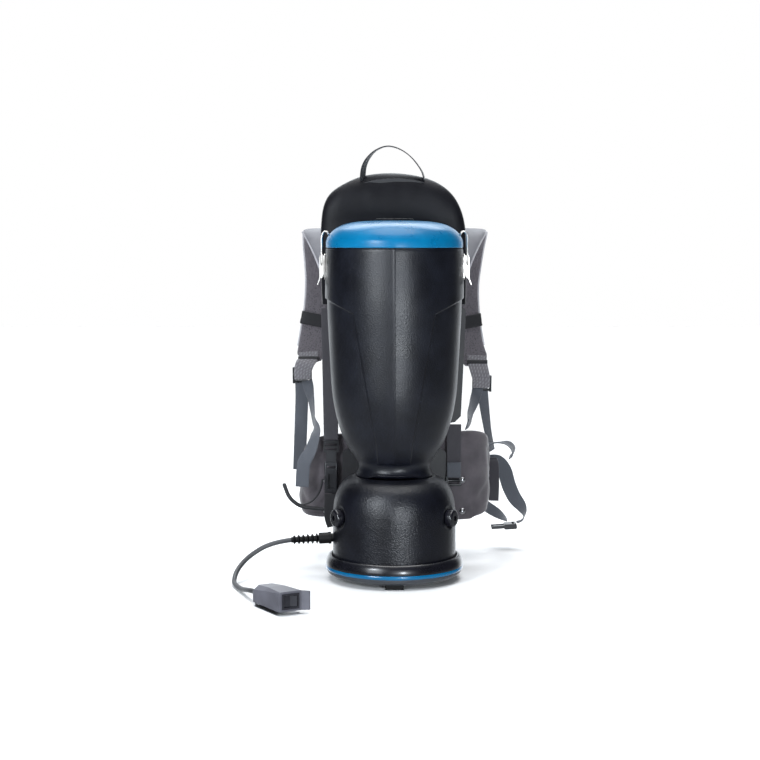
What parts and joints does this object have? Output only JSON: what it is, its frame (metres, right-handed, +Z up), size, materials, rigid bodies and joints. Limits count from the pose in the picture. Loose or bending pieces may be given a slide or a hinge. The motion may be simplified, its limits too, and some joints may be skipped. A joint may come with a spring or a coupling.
{
  "type": "backpack vacuum cleaner",
  "caption": "Bagged backpack vacuum cleaner: tapered dust canister with a latched domed lid on a motor housing, with padded harness, hip belt and short lead with a switch box.",
  "frame": {"origin": "on the floor under the feet, on the axis of the dust canister", "axes": "+Z up along the canister's axis, -Y to the front of the machine, +Y towards the wearer's back, +X to the right seen from the front"},
  "size_m": [0.484, 0.6654, 0.693],
  "materials": {
    "lid_blue": "moulded satin blue plastic",
    "canister_black": "fine leather-grain moulding",
    "housing_black": "leather-grain moulding",
    "ring_black": "smooth moulding",
    "accent_blue": "smooth insert",
    "grille_grey": "plain moulding",
    "rubber_black": "matte",
    "filter_white": "felt",
    "bag_paper": "filter paper",
    "card_brown": "pressed card",
    "steel": "zinc plated",
    "latch_steel": "bright plated",
    "motor_alloy": "die cast",
    "lamination": "varnished laminations",
    "copper": "varnished wire",
    "brass": "plain",
    "inlet_black": "moulded",
    "frame_black": "moulded",
    "hood_fabric": "black satin weave",
    "mesh_grey": "air mesh",
    "belt_grey": "padded woven nylon",
    "webbing": "ribbed webbing",
    "strap_black": "elastic",
    "buckle_black": "moulded",
    "cord_grey": "jacket",
    "switch_black": "moulded",
    "rocker_black": "gloss"
  },
  "bodies": {
    "root": {"accent_band": "accent_blue", "adjuster_webbing": "webbing", "back_cover": "hood_fabric", "back_frame": "frame_black", "back_pad": "mesh_grey", "bag_collar": "card_brown", "base_plate": "grille_grey", "base_ring": "ring_black", "belt_buckle": "buckle_black", "belt_clip": "steel", "belt_webbing": "webbing", "brush_holders": "brass", "canister": "canister_black", "carry_handle": "strap_black", "case_fasteners": "steel", "cord_hook": "frame_black", "dust_bag": "bag_paper", "exhaust_filter": "filter_white", "fan_shroud": "motor_alloy", "field_windings": "copper", "harness_fasteners": "steel", "hip_belt": "belt_grey", "housing_knobs": "ring_black", "inlet_blades": "brass", "ladder_buckle_left": "buckle_black", "ladder_buckle_right": "buckle_black", "latch_base_left": "latch_steel", "latch_base_right": "latch_steel", "motor_bearings": "steel", "motor_filter": "filter_white", "motor_frame": "motor_alloy", "motor_housing": "housing_black", "motor_mount_plate": "grille_grey", "motor_rubber": "rubber_black", "mount_brackets": "frame_black", "power_cord": "cord_grey", "rubber_feet": "rubber_black", "shoulder_strap_left": "mesh_grey", "shoulder_strap_right": "mesh_grey", "side_buckles": "buckle_black", "side_straps": "webbing", "stator_core": "lamination", "strain_relief": "rubber_black", "strap_keeper_left": "strap_black", "strap_keeper_right": "strap_black", "switch_bezel": "rocker_black", "switch_box": "switch_black", "switch_box_base": "switch_black"},
    "lid": {"lid": "lid_blue", "lid_gasket": "rubber_black"},
    "hose_inlet": {"hose_inlet": "inlet_black", "inlet_retainer": "inlet_black"},
    "lever_left": {"latch_lever_left": "latch_steel"},
    "lever_right": {"latch_lever_right": "latch_steel"},
    "wire_left": {"latch_wire_left": "latch_steel"},
    "wire_right": {"latch_wire_right": "latch_steel"},
    "rotor": {"motor_shaft": "steel", "armature": "lamination", "impeller": "motor_alloy"},
    "rocker": {"switch_rocker": "rocker_black"}
  },
  "joints": [
    {"name": "lid_lift", "type": "slide", "parent": "root", "child": "lid", "axis": [0, 0, 1], "range_m": [0, 0.075]},
    {"name": "hose_swivel", "type": "hinge", "parent": "lid", "child": "hose_inlet", "pos_m": [0, 0, 0.57], "axis": [0, 0, 1], "continuous": true},
    {"name": "latch_lever_right_turn", "type": "hinge", "parent": "root", "child": "lever_right", "pos_m": [0.1135, 0, 0.508], "axis": [0, 1, 0], "range_deg": [-110, 0]},
    {"name": "latch_wire_right_turn", "type": "hinge", "parent": "lever_right", "child": "wire_right", "pos_m": [0.114, 0, 0.498], "axis": [0, 1, 0], "range_deg": [0, 190]},
    {"name": "latch_lever_left_turn", "type": "hinge", "parent": "root", "child": "lever_left", "pos_m": [-0.1135, 0, 0.508], "axis": [0, -1, 0], "range_deg": [-110, 0]},
    {"name": "latch_wire_left_turn", "type": "hinge", "parent": "lever_left", "child": "wire_left", "pos_m": [-0.114, 0, 0.498], "axis": [0, -1, 0], "range_deg": [0, 190]},
    {"name": "fan_spin", "type": "hinge", "parent": "root", "child": "rotor", "pos_m": [0, 0, 0.09], "axis": [0, 0, 1], "continuous": true},
    {"name": "switch_rock", "type": "hinge", "parent": "root", "child": "rocker", "pos_m": [-0.14898, -0.27184, 0.0207], "axis": [0, 0, 1], "range_deg": [0, 17]}
  ],
  "couplings": [
    {"joint": "latch_lever_right_turn", "follows": "lid_lift", "rad_per_m": -25.59},
    {"joint": "latch_wire_right_turn", "follows": "lid_lift", "rad_per_m": 44.2},
    {"joint": "latch_lever_left_turn", "follows": "lid_lift", "rad_per_m": -25.59},
    {"joint": "latch_wire_left_turn", "follows": "lid_lift", "rad_per_m": 44.2}
  ]
}
